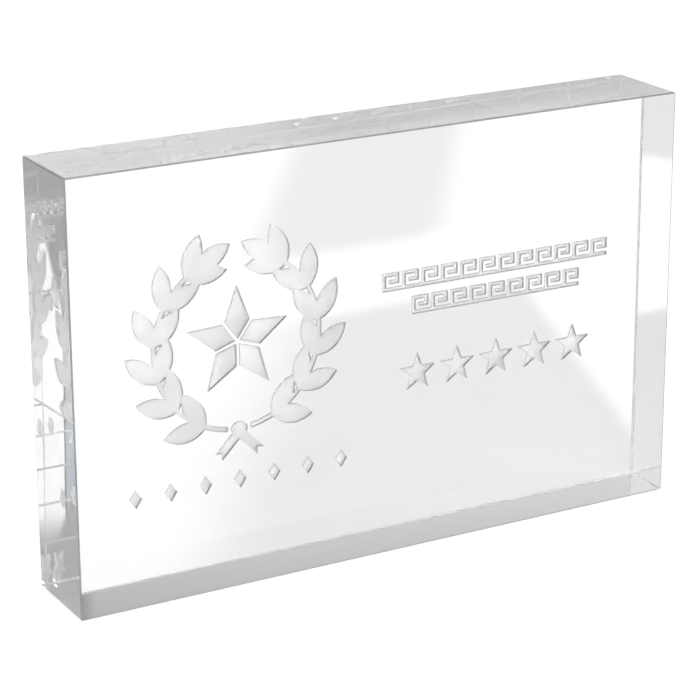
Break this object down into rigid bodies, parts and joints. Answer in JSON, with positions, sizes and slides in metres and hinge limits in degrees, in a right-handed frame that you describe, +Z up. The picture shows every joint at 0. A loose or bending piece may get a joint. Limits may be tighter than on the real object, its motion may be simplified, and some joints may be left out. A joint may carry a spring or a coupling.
{
  "type": "clear acrylic display block",
  "caption": "Clear acrylic block that stands on its long edge, with a wreath, star and border ornament engraved in its rear face, filled with white frost and read through the front.",
  "frame": {"origin": "middle of the flat base that the block stands on", "axes": "+X to the viewer's right along the long side, +Y from the front face to the engraved rear face, +Z up"},
  "size_m": [0.1778, 0.0254, 0.1143],
  "materials": {
    "clear_acrylic": "polished",
    "frost_enamel": "matte"
  },
  "bodies": {
    "root": {"acrylic_block": "clear_acrylic", "wreath_branch_right_fill": "frost_enamel", "wreath_branch_left_fill": "frost_enamel", "wreath_knot_fill": "frost_enamel", "centre_star_kite_1_fill": "frost_enamel", "centre_star_kite_2_fill": "frost_enamel", "centre_star_kite_3_fill": "frost_enamel", "centre_star_kite_4_fill": "frost_enamel", "centre_star_kite_5_fill": "frost_enamel", "lozenge_1_fill": "frost_enamel", "lozenge_2_fill": "frost_enamel", "lozenge_3_fill": "frost_enamel", "lozenge_4_fill": "frost_enamel", "lozenge_5_fill": "frost_enamel", "lozenge_6_fill": "frost_enamel", "lozenge_7_fill": "frost_enamel", "key_band_upper_fill": "frost_enamel", "key_band_lower_fill": "frost_enamel", "row_star_1_fill": "frost_enamel", "row_star_2_fill": "frost_enamel", "row_star_3_fill": "frost_enamel", "row_star_4_fill": "frost_enamel", "row_star_5_fill": "frost_enamel"}
  },
  "joints": []
}
